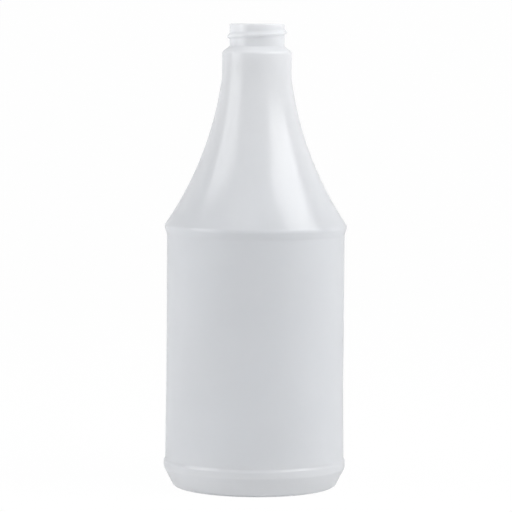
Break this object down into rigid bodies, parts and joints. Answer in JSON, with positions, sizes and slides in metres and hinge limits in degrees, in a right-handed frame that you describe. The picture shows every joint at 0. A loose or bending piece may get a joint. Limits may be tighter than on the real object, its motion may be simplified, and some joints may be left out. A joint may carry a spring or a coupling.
{
  "type": "round bottle",
  "caption": "Round blow-moulded plastic bottle with a straight recessed body, a concave shoulder drawn in to a narrow neck, and an open mouth with an external screw thread.",
  "frame": {"origin": "on the bottle's axis, in the plane that the foot stands on", "axes": "+Z along the bottle's axis, up through the mouth; the mould parts on the XZ plane, so the pinch-off line under the base and the faint parting lines lie along X"},
  "size_m": [0.0834, 0.0834, 0.212],
  "materials": {
    "natural_polyethylene": "translucent natural high-density polyethylene, waxy satin as blown, milky and slightly cool"
  },
  "bodies": {
    "root": {"bottle": "natural_polyethylene"}
  },
  "joints": []
}
